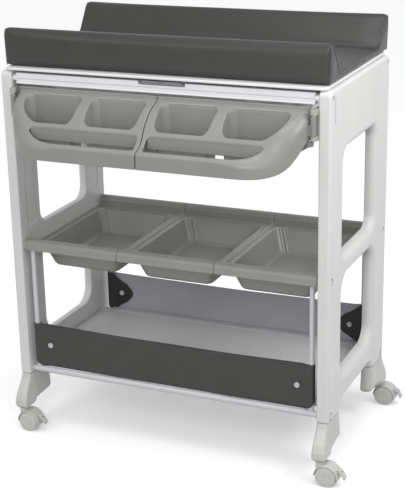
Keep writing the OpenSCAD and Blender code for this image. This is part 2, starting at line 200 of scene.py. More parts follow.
def apply_modifiers(obj):
    """Replaces an object's mesh with what its modifiers make of it."""
    graph = bpy.context.evaluated_depsgraph_get()
    mesh = bpy.data.meshes.new_from_object(obj.evaluated_get(graph))
    obj.modifiers.clear()
    obj.data = mesh
    return obj


def thin_out(obj, share):
    """Keeps a share of the faces, most of them where the surface bends."""
    if share < 1:
        modifier = obj.modifiers.new("thin", "DECIMATE")
        modifier.ratio = share
        apply_modifiers(obj)
        for face in obj.data.polygons:
            face.use_smooth = True
    return obj


def surface(name, field, low, high, step, share=1.0):
    """A mesh object of a field's surface, shaded with the field's own slopes."""
    points, quads = net(field, low, high, step)
    obj = thin_out(mesh_object(name, points, quads), share)
    co = np.zeros(len(obj.data.vertices) * 3)
    obj.data.vertices.foreach_get("co", co)
    places = (co.reshape(-1, 3) - ORIGIN) * 1000
    slope = np.stack([field(*(places + d).T) - field(*(places - d).T) for d in 0.35 * np.eye(3)], axis=1)
    shade(obj.data, slope / np.maximum(np.linalg.norm(slope, axis=1), 1e-6)[:, None])
    return obj


def shade(mesh, normals):
    """Sets the shading directions at the vertices, and keeps them for mirrored copies."""
    if "slope" not in mesh.attributes:
        mesh.attributes.new("slope", "FLOAT_VECTOR", "POINT")
    mesh.attributes["slope"].data.foreach_set("vector", normals.astype(np.float32).ravel())
    mesh.normals_split_custom_set_from_vertices(normals.tolist())


def kept_slopes(mesh):
    """The shading directions that shade() kept."""
    normals = np.zeros(len(mesh.vertices) * 3)
    mesh.attributes["slope"].data.foreach_get("vector", normals)
    return normals.reshape(-1, 3)


def reflected(obj, name, flip_x=False, flip_y=False):
    """A mirrored copy of an object, about the table's middle."""
    mesh = obj.data.copy()
    co = np.zeros(len(mesh.vertices) * 3)
    mesh.vertices.foreach_get("co", co)
    co = co.reshape(-1, 3)
    for axis, flip in ((0, flip_x), (1, flip_y)):
        if flip:
            co[:, axis] = 2 * ORIGIN[axis] - co[:, axis]
    mesh.vertices.foreach_set("co", co.ravel())
    if flip_x != flip_y:
        mesh.flip_normals()
    shade(mesh, kept_slopes(mesh) * (-1 if flip_x else 1, -1 if flip_y else 1, 1))
    copy = bpy.data.objects.new(name, mesh)
    bpy.context.scene.collection.objects.link(copy)
    return copy


def shifted(obj, name, offset):
    """A copy of an object, moved by an offset in mm."""
    mesh = obj.data.copy()
    mesh.transform(Matrix.Translation(Vector(offset) / 1000))
    shade(mesh, kept_slopes(mesh))
    copy = bpy.data.objects.new(name, mesh)
    bpy.context.scene.collection.objects.link(copy)
    return copy


def lathe(name, outline, centre, axis, segments=64):
    """Turns an outline of (radius, height) points about a line through centre along axis."""
    points, faces = [], []
    for i in range(segments):
        angle = 2 * math.pi * i / segments
        for radius, height in outline:
            a, b = radius * math.cos(angle), radius * math.sin(angle)
            points.append({"x": (height, a, b), "y": (a, height, -b), "z": (a, b, height)}[axis])
    size = len(outline)
    for i in range(segments):
        j = (i + 1) % segments
        for k in range(size - 1):
            faces.append((i * size + k, j * size + k, j * size + k + 1, i * size + k + 1))
    obj = mesh_object(name, np.array(points) + np.array(centre), faces)
    weld = obj.modifiers.new("weld", "WELD")
    weld.merge_threshold = 1e-6
    return apply_modifiers(obj)


def bead(name, path, radius, sides=10, closed=False):
    """A round bead along a path of points in mm."""
    path = np.array(path, float)
    ahead = np.roll(path, -1, 0) - np.roll(path, 1, 0)
    if not closed:
        ahead[0], ahead[-1] = path[1] - path[0], path[-1] - path[-2]
    ahead /= np.linalg.norm(ahead, axis=1)[:, None]
    up = np.array([1.0, 0, 0]) if abs(ahead[0][0]) < 0.5 else np.array([0, 0, 1.0])
    points = []
    for centre, way in zip(path, ahead):
        side_way = np.cross(way, up)
        side_way /= np.linalg.norm(side_way)
        top_way = np.cross(side_way, way)
        for k in range(sides):
            angle = 2 * math.pi * k / sides
            points.append(centre + radius * (math.cos(angle) * side_way + math.sin(angle) * top_way))
    faces = []
    count = len(path)
    for i in range(count if closed else count - 1):
        j = (i + 1) % count
        for k in range(sides):
            m = (k + 1) % sides
            faces.append((i * sides + k, i * sides + m, j * sides + m, j * sides + k))
    if not closed:
        faces.append(tuple(range(sides)))
        faces.append(tuple(range(len(points) - 1, len(points) - 1 - sides, -1)))
    return mesh_object(name, points, faces)


def dense(line, step):
    """Points every step along a polyline, with the corners softened."""
    points = []
    for a, b in zip(line, line[1:]):
        count = max(1, int(math.dist(a, b) / step))
        points += [tuple(p + (q - p) * i / count for p, q in zip(a, b)) for i in range(count)]
    points.append(line[-1])
    points = np.array(points, float)
    for _ in range(6):
        points[1:-1] = (points[:-2] + 2 * points[1:-1] + points[2:]) / 4
    return points


def show(obj, body, node, material):
    """Puts a piece on its body in the place of a CAD node, with its finish."""
    obj.data.materials.clear()
    obj.data.materials.append(material)
    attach(obj, body)
    if node:
        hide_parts(*([node] if isinstance(node, str) else node))
    return obj


# ---------------------------------------------------------------------------------------------
# Materials
# ---------------------------------------------------------------------------------------------


def shader(name, color, roughness, **inputs):
    """A material with a Principled BSDF, and its node tree."""
    material = bpy.data.materials.new(name)
    material.use_nodes = True
    material.diffuse_color = (*color, 1)
    tree = material.node_tree
    principled = tree.nodes["Principled BSDF"]
    principled.inputs["Base Color"].default_value = (*color, 1)
    principled.inputs["Roughness"].default_value = roughness
    for socket, value in inputs.items():
        principled.inputs[socket.replace("_", " ")].default_value = value
    return material, tree, principled


def node(tree, kind, **settings):
    made = tree.nodes.new(kind)
    for key, value in settings.items():
        if key in made.inputs:
            made.inputs[key].default_value = value
        else:
            setattr(made, key, value)
    return made


def noise(tree, scale, detail=3.0, stretch=(1, 1, 1)):
    """Noise over the object's own space, scale in waves a metre."""
    place = node(tree, "ShaderNodeTexCoord")
    mapping = node(tree, "ShaderNodeMapping", Scale=stretch)
    texture = node(tree, "ShaderNodeTexNoise", Scale=scale, Detail=detail, Roughness=0.55)
    tree.links.new(place.outputs["Object"], mapping.inputs["Vector"])
    tree.links.new(mapping.outputs["Vector"], texture.inputs["Vector"])
    return texture.outputs["Fac"]


def spread(tree, value, low, high):
    """Maps the middle of a noise's values to low and high."""
    made = node(tree, "ShaderNodeMapRange")
    made.inputs["From Min"].default_value = 0.3
    made.inputs["From Max"].default_value = 0.7
    made.inputs["To Min"].default_value = low
    made.inputs["To Max"].default_value = high
    tree.links.new(value, made.inputs["Value"])
    return made.outputs["Result"]


def tint(tree, principled, value, dark, light):
    """Varies the base colour between two tones."""
    mix = node(tree, "ShaderNodeMix", data_type="RGBA")
    mix.inputs["A"].default_value = (*dark, 1)
    mix.inputs["B"].default_value = (*light, 1)
    tree.links.new(value, mix.inputs["Factor"])
    tree.links.new(mix.outputs["Result"], principled.inputs["Base Color"])


def bump(tree, principled, layers):
    """Chains bumps of (height value, depth in metres)."""
    normal = None
    for height, depth in layers:
        made = node(tree, "ShaderNodeBump", Distance=depth, Strength=1.0)
        tree.links.new(height, made.inputs["Height"])
        if normal:
            tree.links.new(normal, made.inputs["Normal"])
        normal = made.outputs["Normal"]
    tree.links.new(normal, principled.inputs["Normal"])


def shade_of(color, factor):
    return tuple(min(1.0, c * factor) for c in color)


def moulded(name, color, roughness, grain=0.00004, wave=0.00012, **inputs):
    """Moulded plastic: a fine spark-eroded grain, faint flow marks and uneven gloss."""
    material, tree, principled = shader(name, color, roughness, **inputs)
    flow = noise(tree, 9, 4.0, (1, 1, 0.35))
    tint(tree, principled, spread(tree, flow, 0, 1), shade_of(color, 0.965), shade_of(color, 1.03))
    gloss = spread(tree, noise(tree, 12, 1.0), roughness - 0.015, roughness + 0.02)
    tree.links.new(gloss, principled.inputs["Roughness"])
    bump(tree, principled, [(noise(tree, 14, 2.0), wave), (noise(tree, 1900, 2.0), grain)])
    return material


def coated_metal(name, color, roughness):
    """Powder coat on steel tube, with a faint orange peel."""
    material, tree, principled = shader(name, color, roughness, Coat_Weight=0.35, Coat_Roughness=0.12)
    tint(tree, principled, spread(tree, noise(tree, 14), 0, 1), shade_of(color, 0.97), shade_of(color, 1.02))
    gloss = spread(tree, noise(tree, 60, 4.0), roughness - 0.04, roughness + 0.06)
    tree.links.new(gloss, principled.inputs["Roughness"])
    bump(tree, principled, [(noise(tree, 520, 1.0), 0.00004)])
    return material


def steel(name):
    """Zinc-plated steel with fine brushing."""
    material, tree, principled = shader(name, (0.62, 0.62, 0.64), 0.3, Metallic=1.0)
    gloss = spread(tree, noise(tree, 300, 5.0, (0.1, 1, 1)), 0.22, 0.42)
    tree.links.new(gloss, principled.inputs["Roughness"])
    bump(tree, principled, [(noise(tree, 900, 2.0, (0.1, 1, 1)), 0.00002)])
    return material


def vinyl(name, color, roughness, leather=0.00009, weave=0.0):
    """Coated fabric: a pebbled skin, soft creases and, on thin sheets, the weave behind it."""
    material, tree, principled = shader(name, color, roughness, Sheen_Weight=0.08, Sheen_Roughness=0.4)
    patches = spread(tree, noise(tree, 7, 5.0), 0, 1)
    tint(tree, principled, patches, shade_of(color, 0.93), shade_of(color, 1.06))
    gloss = spread(tree, noise(tree, 24, 5.0), roughness - 0.06, roughness + 0.08)
    tree.links.new(gloss, principled.inputs["Roughness"])
    place = node(tree, "ShaderNodeTexCoord")
    pebbles = node(tree, "ShaderNodeTexVoronoi", Scale=850.0, feature="SMOOTH_F1")
    tree.links.new(place.outputs["Object"], pebbles.inputs["Vector"])
    layers = [(noise(tree, 18, 4.0), 0.0005), (pebbles.outputs["Distance"], leather)]
    if weave:
        threads = node(tree, "ShaderNodeTexWave", Scale=420.0, bands_direction="Z")
        tree.links.new(place.outputs["Object"], threads.inputs["Vector"])
        layers.append((threads.outputs["Fac"], weave))
    bump(tree, principled, layers)
    return material


WHITE = moulded("moulded_white", (0.60, 0.60, 0.592), 0.42)
IVORY = moulded("moulded_ivory", (0.49, 0.493, 0.475), 0.40)
WHEEL = moulded("wheel_ivory", (0.49, 0.492, 0.473), 0.46)
ORGANISER = moulded("organiser_grey", (0.22, 0.22, 0.207), 0.38, grain=0.00001)
TRAY = moulded("tray_grey", (0.235, 0.234, 0.22), 0.34, grain=0.000005, wave=0.00004)
# Hinge brackets: white plastic darkened to a beige grey, as painted shade for their place against the legs'
# inner faces.
BRACKET_PAINTED_SHADE = moulded("bracket_ivory", (0.33, 0.33, 0.29), 0.42)
BOARD = moulded("board_white", (0.66, 0.66, 0.67), 0.35)
SHELF = moulded("shelf_white", (0.57, 0.57, 0.58), 0.35)
BATH = moulded("bath_white", (0.70, 0.70, 0.70), 0.22, grain=0.00001, Coat_Weight=0.3)
PLUG = moulded("plug_rubber", (0.16, 0.16, 0.16), 0.6)
LATCH = moulded("latch_grey", (0.17, 0.175, 0.19), 0.3)
STUD = moulded("stud_grey", (0.48, 0.48, 0.48), 0.34)
SOCKET = moulded("socket_grey", (0.46, 0.46, 0.46), 0.4)
# Top bars and tubes share one lavender-white powder coat: the bars get a lighter copy as painted light, and
# the tubes a darker copy as painted shade under the table.
BAR_PAINTED_LIGHT = coated_metal("bar_coat_painted_light", (0.69, 0.685, 0.715), 0.34)
TUBE_PAINTED_SHADE = coated_metal("tube_white", (0.52, 0.516, 0.55), 0.3)
STEEL = steel("plated_steel")
MAT = vinyl("mat_vinyl", (0.0245, 0.0245, 0.0225), 0.40)
# Seam beads: vinyl painted lighter than the mat and panels, as a painted highlight along the mat's welded end
# seams and the panels' hems.
SEAM_HIGHLIGHT = vinyl("seam_bead_painted_highlight", (0.06, 0.06, 0.057), 0.36)
PANEL = vinyl("panel_vinyl", (0.0235, 0.0235, 0.0215), 0.5, leather=0.00006, weave=0.00005)
LINING = vinyl("panel_lining", (0.40, 0.395, 0.435), 0.5, leather=0.00004, weave=0.00005)

# Tray beads: the tray's grey painted lighter, as painted highlights along the tub edges and the trays' side
# edges.
TRAY_LIP_HIGHLIGHT = moulded("tray_lip_painted_highlight", (0.36, 0.36, 0.34), 0.25)
# Organiser bin lips: the organiser's grey painted lighter, as a painted highlight on the bins' back rims.
ORGANISER_LIP_HIGHLIGHT = moulded("organiser_lip_painted_highlight", (0.33, 0.33, 0.31), 0.28)

# ---------------------------------------------------------------------------------------------
# Side frames and feet
# ---------------------------------------------------------------------------------------------

INNER_X = 375.0
OUTER_X = 403.0
HALF_DEPTH = 218.0
LEG_INNER = 121.0
FOOT_TOP = 142.0
SIDE_TOP = 908.0
SCREW_HEIGHTS = (153.0, 478.0)
TUBE_Y = 198.0


def side_field(x, y, z):
    """Right side frame: soft outer edges, sunk channels inside and oval screw recesses outside."""
    outline = both(slab(y, -HALF_DEPTH, HALF_DEPTH), z - SIDE_TOP, 14)
    body = both(outline, x - OUTER_X, 7)
    for low, high, corner in ((511, 758, 30), (221, 461, 40), (0, 157, 24)):
        opening = rect(y, z, (-LEG_INNER, low), (LEG_INNER, high), corner)
        body = cut(body, opening, 19)
    body = both(body, INNER_X - x, 2.5)
    body = both(body, FOOT_TOP - z, 1.2)
    for middle in (-HALF_DEPTH + 58, HALF_DEPTH - 58):
        for low, high in ((238, 455), (521, 748)):
            channel = both(rect(y, z, (middle - 23, low), (middle + 23, high), 12), x - INNER_X - 2, 1.5)
            body = cut(body, channel, 1.2)
    for middle in (-TUBE_Y, TUBE_Y):
        for height in SCREW_HEIGHTS:
            recess = rect(y, z, (middle - 6.6, height - 11), (middle + 6.6, height + 9), 6.5)
            body = cut(body, both(recess, OUTER_X - 4.8 - x, 0.5), 1.4)
    for middle in (-204, 204):
        hole = length(y - middle, z - 890) - 6.3
        body = cut(body, both(hole, OUTER_X - 4.8 - x), 0.8)
    slot = rect(y, z, (-192, 829), (-188, 891), 1.9)
    return cut(body, both(slot, OUTER_X - 2 - x), 0.6)


side = surface("side_frame_right_shell", side_field, (372, -221, 139), (406, 221, 910), (2.5, 3, 3), 0.45)
show(side, "frame", "side_frame_right", WHITE)
side_left = reflected(side, "side_frame_left_shell", flip_x=True)
show(side_left, "frame", "side_frame_left", WHITE)

FOOT_OUTLINE = [
    (218, 142), (121, 142), (121, 80), (124, 73), (132, 69.5), (194, 67), (204, 57.5),
    (244, 57.5), (251, 64), (250.5, 80), (243.5, 98), (231, 116), (222, 130),
]
CASTOR_X = 390.0
CASTOR_Y = 234.0


def foot_field(x, y, z):
    """Rear right foot: a boot that swells round the castor's socket."""
    swell = smooth_line(z, [57, 75, 112, 142], [17.5, 17.0, 14.4, 14], 6)
    middle = smooth_line(z, [57, 80, 120, 142], [390, 390, 389, 389], 5)
    outline = polygon(y + 0 * x, z + 0 * x, FOOT_OUTLINE)
    body = both(outline, x - middle - swell, np.interp(y, [165, 212], [19, 9]))
    body = both(body, middle - swell - x, 7)
    body = both(body, z - FOOT_TOP, 1.0)
    socket = length(x - CASTOR_X, y - CASTOR_Y) - 5.2
    return cut(body, both(socket, z - 99), 0.6)


foot = surface("foot_rear_right_shell", foot_field, (369, 117, 54), (411, 255, 144), 1.8)
for corner, (sx, sy) in CORNERS.items():
    copy = reflected(foot, f"foot_{corner}_moulding", flip_x=sx < 0, flip_y=sy < 0)
    show(copy, "frame", f"foot_{corner}", IVORY)
bpy.data.objects.remove(foot)

# ---------------------------------------------------------------------------------------------
# Castors
# ---------------------------------------------------------------------------------------------

TRAIL = 18.0
WHEEL_R = 25.0
HOOD_R = 28.5
PEDAL = (TRAIL + 30.4, WHEEL_R + 14.2)


def housing_field(x, y, z):
    """Hood over both wheels with its web, neck and pedal ear, about the swivel axis."""
    reach = length(x - TRAIL, z - WHEEL_R)
    hood = both(reach - HOOD_R, abs(y) - 19, 3)
    neck = both(length(x, y) - 10, z - 56.5, 1.0)
    body = either(hood, both(neck, 40 - z), 2.5)
    wells = both(reach - WHEEL_R - 1, 6.5 - abs(y))
    body = cut(body, wells, 0.8)
    ear = rect(x, z, (PEDAL[0] - 10, PEDAL[1] - 4), (PEDAL[0] + 4, PEDAL[1] + 4), 3.9)
    ear = both(ear, abs(y) - 3.4, 0.6)
    body = either(body, ear, 1.0)
    skirt = smooth_line(x, [-15, 0, 20, 50], [27, 20, 12, 15], 5)
    return both(body, skirt - z, 1.2)


def brake_field(x, y, z):
    """Pedal: two cheeks on the pin and a tab that slopes down."""
    hub = both(length(x - PEDAL[0], z - PEDAL[1]) - 4.2, slab(abs(y), 3.9, 7.4), 0.6)
    arm = polygon(x - PEDAL[0], z - PEDAL[1], [(-2, -3), (1, 4), (8.5, -4.6), (5, -9)]) - 0.3
    tab_line = [(3.6, -5.2), (6.8, -2.1), (14.2, -14.6), (12.9, -18.6), (9.4, -17.2)]
    tab = polygon(x - PEDAL[0], z - PEDAL[1], tab_line) - 0.3
    body = either(hub, both(arm, slab(abs(y), 3.9, 7.4), 0.6), 0.5)
    body = either(body, both(tab, abs(y) - 7.4, 1.6), 0.6)
    return cut(body, length(x - PEDAL[0], z - PEDAL[1]) - 2.15)


WHEEL_LINE = [
    (0, 19.0), (6, 19.3), (7.5, 18.6), (9, 19.4), (19, 19.0), (20.6, 18.2), (21.6, 18.6), (23.6, 18.2),
    (24.6, 17.2), (25, 15.8), (25, 12), (25, 9.6), (24.4, 8.3), (23.2, 7.7), (9, 7.7), (6, 8.2),
    (3.2, 8.2), (3.2, 17.5), (0, 17.5),
]


def rounded_line(line, per_edge=3):
    """Adds points to an outline and softens its corners."""
    points = []
    for (r0, h0), (r1, h1) in zip(line, line[1:]):
        for i in range(per_edge):
            points.append((r0 + (r1 - r0) * i / per_edge, h0 + (h1 - h0) * i / per_edge))
    points.append(line[-1])
    middle = [
        tuple((a + 2 * b + c) / 4 for a, b, c in zip(p, q, r))
        for p, q, r in zip(points, points[1:], points[2:])
    ]
    return [points[0]] + middle + [points[-1]]


housing = surface("castor_housing_form", housing_field, (-13, -21, 9), (55, 21, 59), 1.3, 0.6)
pedal = surface("castor_brake_form", brake_field, (43, -9, 14), (65, 9, 45), 0.9, 0.6)
for corner, (sx, sy) in CORNERS.items():
    place = (sx * CASTOR_X, sy * CASTOR_Y, 0)
    cover = shifted(housing, f"castor_{corner}_hood", place)
    stem_line = [(0, 54), (4.9, 54), (4.9, 94.5), (4.2, 96), (0, 96)]
    stem = lathe(f"castor_{corner}_stem", rounded_line(stem_line, 1), place, "z", 32)
    pin_line = [(0, -8), (1.7, -8), (2, -7.7), (2, 7.7), (1.7, 8), (0, 8)]
    pin = lathe(f"castor_{corner}_pedal_pin", pin_line, (place[0] + PEDAL[0], place[1], PEDAL[1]), "y", 24)
    show(cover, f"castor_{corner}", f"castor_housing_{corner}", IVORY)
    show(stem, f"castor_{corner}", None, STEEL)
    show(pin, f"castor_{corner}", None, STEEL)
    show(shifted(pedal, f"castor_{corner}_pedal", place), f"brake_{corner}",
         f"castor_brake_{corner}", IVORY)
    hub = (place[0] + TRAIL, place[1], WHEEL_R)
    for side_name, way in (("front", -1), ("back", 1)):
        outline = [(r, way * h) for r, h in rounded_line(WHEEL_LINE)]
        wheel = lathe(f"castor_{corner}_wheel_{side_name}", outline, hub, "y")
        if way < 0:
            wheel.data.flip_normals()
        show(wheel, f"wheels_{corner}", f"castor_wheels_{corner}", WHEEL)
for form in (housing, pedal):
    bpy.data.objects.remove(form)

# ---------------------------------------------------------------------------------------------
# Top bars, board and latch
# ---------------------------------------------------------------------------------------------


def bar_field(x, y, z):
    """Rear bar: a flat tube with rounded edges, a shallow outer groove and round stub ends."""
    body = both(rect(y, z, (195, 877), (212.5, 903), 2.2), abs(x) - 365, 1.5)
    body = cut(body, both(slab(z, 880.5, 890), 211.7 - y), 0.7)
    ends = both(length(y - 204, z - 890) - 7.5, abs(x) - INNER_X)
    return either(body, ends, 1)


def front_bar_field(x, y, z):
    """Front bar: as the rear one, with a sunk seat for the latch."""
    seat = rect(x, y, (-49, -214), (64, -198.5), 2)
    return cut(bar_field(x, -y, z), both(seat, 896 - z), 0.8)


# The top bars take the lighter copy of the tube coat, as painted light.
bar = surface("top_rear_bar_shell", bar_field, (-375, 193, 875), (375, 215, 905), (4, 1.2, 1.2), 0.4)
show(bar, "frame", "top_rear_bar", BAR_PAINTED_LIGHT)
bar = surface("top_front_bar_shell", front_bar_field, (-375, -215, 875), (375, -193, 905), (3, 1.2, 1.2), 0.4)
show(bar, "frame", "top_front_bar", BAR_PAINTED_LIGHT)


def board_field(x, y, z):
    """Board under the mat, whose middle reaches slightly lower than its edge."""
    outline = rect(x, y, (-392, -217), (392, 222), 14)
    rim = both(both(outline, 908.6 - z, 1.6), z - 915, 2.5)
    core = both(rect(x, y, (-368, -200), (368, 208), 6), slab(z, 907, 912))
    return either(rim, core)


board = surface("top_board_panel", board_field, (-394, -219, 905), (394, 224, 917), (4, 4, 1.1), 0.4)
show(board, "changing_top", "top_board", BOARD)


def latch_field(x, y, z):
    """Push latch with a finger scoop."""
    base = both(rect(x, y, (-47.5, -214.5), (62.5, -203), 3), slab(z, 897, 902), 1.0)
    top = both(rect(x, y, (-40, -214.5), (55, -207), 2.5), slab(z, 899, 905.5), 1.2)
    scoop = length((x - 7.5) / 2.2, y + 214.5, z - 907) - 5.0
    return cut(either(base, top, 1.0), scoop, 0.6)


latch = surface("latch_handle_button", latch_field, (-50, -217, 895), (65, -201, 907), (1.5, 0.9, 0.9), 0.6)
show(latch, "latch", "latch_handle", LATCH)

# ---------------------------------------------------------------------------------------------
# Organisers
# ---------------------------------------------------------------------------------------------

HINGE_X = 366.0
HINGE_Y = 227.0
PIN_HOLE_R = 3.1
DECK_DEPTHS = [213, 220, 238, 256, 272, 286, 297, 306, 317, 331, 339, 342]
DECK_HEIGHTS = [868, 865, 857.5, 849, 838, 825, 809, 794, 783, 775.5, 773.5, 771]
BINS = [(18.5, 154), (178, 321)]
BIN_TOP = 866.0
BIN_FLOOR = 742.0
APRON_PLACES = [0, 262, 276, 295, 305, 317, 328, 336, 342, 348, 354, 359]
APRON_HEIGHTS = [736, 736, 736.5, 738.5, 741, 744.5, 751.5, 760, 770, 784, 796, 812]


def deck_height(v):
    return smooth_line(v, DECK_DEPTHS, DECK_HEIGHTS, 4)


def bin_outline(x, v, z, span, grown, r):
    """Plan of a tapered bin at height z; the outer bin has one large front corner."""
    part = np.clip((BIN_TOP - z) / (BIN_TOP - BIN_FLOOR), 0, 1.1)
    low = (span[0] - grown + 10 * part, 228.5 - grown + 4 * part)
    high = (span[1] + grown - 10 * part, 296 + grown - 6 * part)
    outline = rect(x, v, low, high, r)
    if span[1] > 300:
        outline = both(outline, both(x - high[0], v - high[1], 50 + grown))
    return outline


def organiser_field(x, y, z):
    """Right organiser: a moulded shell with two bins, a towel slot and a hinge knuckle on a gusset."""
    v = -y
    slope = (deck_height(v + 1) - deck_height(v - 1)) / 2
    deck = (z - deck_height(v)) / np.sqrt(1 + slope ** 2)
    outer = both(x - 359, v - 342, 134)
    roll = np.interp(x, [190, 290], [4.5, 20])
    bottom = smooth_line(x, APRON_PLACES, APRON_HEIGHTS, 6)
    solid = both(both(deck, outer, roll), 1.0 - x, 1.5)
    solid = both(solid, 213.5 - v, 1.5)
    hollow = both(both(deck + 3, outer + 3, np.maximum(roll - 3, 1.5)), 4 - x, 1.5)
    shell = cut(solid, hollow)
    for span in BINS:
        wall = both(bin_outline(x, v, z, span, 2.6, 16), BIN_FLOOR - z, 6)
        shell = either(shell, both(wall, solid + 2.3), 2)
    skirt = both(rect(x, v, (10, 297.6), (282, 300), 1), 773 - z, 1)
    shell = either(shell, both(skirt, solid + 1), 1)
    shell = both(shell, bottom - z, 1.4)
    for span in BINS:
        room = both(bin_outline(x, v, z, span, 0, 15), BIN_FLOOR + 2.6 - z, 9)
        shell = cut(shell, room, 3)
    towel = rect(x, v, (11, 300), (284, 330.5), 8)
    towel = both(towel, np.where(x > 208, length(x - 208, v - 210) - 120.5, v - 330.5))
    shell = cut(shell, both(towel, 750 - z), 1.6)
    ledge = both(slab(v, 213.2, 219), slab(z, 858, 873), 1.8)
    shell = either(shell, both(ledge, slab(x, 1, 354)), 0.8)
    from_pin = length(x - HINGE_X, v - HINGE_Y)
    knuckle = both(from_pin - 6.5, slab(z, 812.5, 855), 0.8)
    arm = both(rect(x, v, (352, 223), (366, 231), 1), slab(z, 812.5, 836), 1)
    rib_line = [(330, 800), (330, 772), (358, 789), (366, 789), (366, 800.5)]
    rib = both(polygon(x, z, rib_line), slab(v, 222, 231), 1)
    shell = either(shell, either(either(knuckle, arm, 1), rib, 1), 1.5)
    return cut(shell, from_pin - PIN_HOLE_R)


organiser = surface("organiser_right_moulding", organiser_field, (0, -345, 734), (374, -211, 876), 1.5, 0.28)
show(organiser, "organiser_right", "organiser_right", ORGANISER)
organiser_left = reflected(organiser, "organiser_left_moulding", flip_x=True)
show(organiser_left, "organiser_left", "organiser_left", ORGANISER)


# A bead on each bin's back rim, coloured lighter than the organiser as a painted highlight.
for name, way in SIDES.items():
    for number, (start, end) in enumerate(BINS):
        places = np.linspace(start + 14, end - 14, 12)
        height = float(deck_height(np.array(227.0))) - 0.4
        lip = bead(f"organiser_{name}_bin_lip_{number}", [(way * x, -227.2, height) for x in places], 1.1)
        show(lip, f"organiser_{name}", None, ORGANISER_LIP_HIGHLIGHT)


def bracket_field(x, y, z):
    """Right hinge bracket: plate with a lug above and below the knuckle."""
    v = -y
    plate = both(rect(v, z, (186, 802), (216, 870), 4), slab(x, 369, 375), 1.0)
    lug_z = either(slab(z, 802, 812), slab(z, 858, 870))
    from_pin = length(x - HINGE_X, v - HINGE_Y)
    lug = both(either(from_pin - 6.5, rect(x, v, (364, 190), (375, HINGE_Y), 1), 1), lug_z, 1.0)
    return cut(either(plate, lug, 0.8), from_pin - 3.05)


# The brackets take the darkened white, as painted shade.
bracket = surface("hinge_bracket_right_moulding", bracket_field, (357, -236, 800), (377, -184, 872), 1.2, 0.5)
show(bracket, "frame", "hinge_bracket_right", BRACKET_PAINTED_SHADE)
bracket_left = reflected(bracket, "hinge_bracket_left_moulding", flip_x=True)
show(bracket_left, "frame", "hinge_bracket_left", BRACKET_PAINTED_SHADE)

# ---------------------------------------------------------------------------------------------
# Trays, bath and plug
# ---------------------------------------------------------------------------------------------

TRAY_PITCH = 247.5
TRAY_HALF = 123.5
TUB_TOP = 470
TUB_DEPTH = 60
TUB_HALF = 106
TUB_FRONT = -158
TUB_BACK = 150
TUB_TAPER = 22
TUB_BACK_TAPER = 25


def tub_outline(x, y, z, grown):
    """Plan of a tray's tapered tub at height z."""
    part = np.clip((TUB_TOP - z) / TUB_DEPTH, -0.1, 1.1)
    half = TUB_HALF - TUB_TAPER * part + grown
    front = TUB_FRONT + 21 * part - grown
    back = TUB_BACK - TUB_BACK_TAPER * part + grown
    return both(abs(x) - half, slab(y, front, back), 15 + grown)


def rail_field(x, y, z):
    """Front and rear rails that hook over the tubes."""
    v = abs(y)
    outside = either(length(v - TUBE_Y, z - 480) - 14, rect(v, z, (184, 467), (212, 480)))
    inside = either(length(v - TUBE_Y, z - 478) - 9.4, rect(v, z, (188.6, 440), (207.4, 478)))
    ends = both(467 - z, abs(x) - TRAY_HALF, 5)
    return both(cut(outside, inside), ends, 1.6)


def tray_field(x, y, z):
    """Middle tray: tub, flat deck, two rails and pairs of ribs in the rear corners."""
    rim = both(slab(z, 467, 470), both(abs(x) - TRAY_HALF, abs(y) - 186), 1.0)
    lip = both(slab(z, 467, 472.5), abs(abs(x) - TRAY_HALF + 1.6) - 1.6, 1.0)
    lip = both(lip, abs(y) - 186)
    body = either(rim, both(both(tub_outline(x, y, z, 3), 410 - z, 8), z - 469), 2)
    body = either(either(body, lip, 1), rail_field(x, y, z), 2)
    body = cut(body, both(tub_outline(x, y, z, 0), 413 - z, 9), 2.0)
    part = np.clip((TUB_TOP - z) / TUB_DEPTH, 0, 1)
    for offset in (10, 19):
        rib_x = TUB_HALF - TUB_TAPER * part - offset
        rib = length(abs(x) - rib_x, y - (TUB_BACK - TUB_BACK_TAPER * part)) - 2.2
        body = either(body, both(rib, slab(z, 414, 468)), 1.0)
    return body


tray = surface("tray_form", tray_field, (-125, -214, 410), (125, 214, 496), 1.5, 0.24)
for name, i in (("left", -1), ("middle", 0), ("right", 1)):
    copy = shifted(tray, f"tray_{name}_moulding", (i * TRAY_PITCH, 0, 0))
    show(copy, f"tray_{name}", f"tray_{name}", TRAY)
bpy.data.objects.remove(tray)


def lip_path(inset):
    """Plan of a tray's tub edge, moved outwards by inset, just above the deck."""
    path = []
    r = 17
    for sx, sy, turn in ((1, 1, 0), (-1, 1, 90), (-1, -1, 180), (1, -1, 270)):
        corner = (sx * (TUB_HALF + inset - r), (TUB_BACK + inset - r) if sy > 0 else (TUB_FRONT - inset + r))
        for angle in np.radians(np.linspace(turn, turn + 90, 9)):
            path.append((corner[0] + r * math.cos(angle), corner[1] + r * math.sin(angle), TUB_TOP + 0.4))
    return path


# Beads round each tub and along each tray's side edges, coloured lighter than the tray as painted highlights.
for name, i in (("left", -1), ("middle", 0), ("right", 1)):
    lip = bead(f"tray_{name}_lip", np.array(lip_path(2.4)) + (i * TRAY_PITCH, 0, 0), 1.1, closed=True)
    show(lip, f"tray_{name}", None, TRAY_LIP_HIGHLIGHT)
    for edge_name, way in SIDES.items():
        edge = [(i * TRAY_PITCH + way * (TRAY_HALF - 1.6), y, 472.3) for y in np.linspace(-180, 180, 25)]
        ridge_highlight = bead(f"tray_{name}_ridge_{edge_name}", edge, 0.8)
        show(ridge_highlight, f"tray_{name}", None, TRAY_LIP_HIGHLIGHT)


DRAIN_X = 180


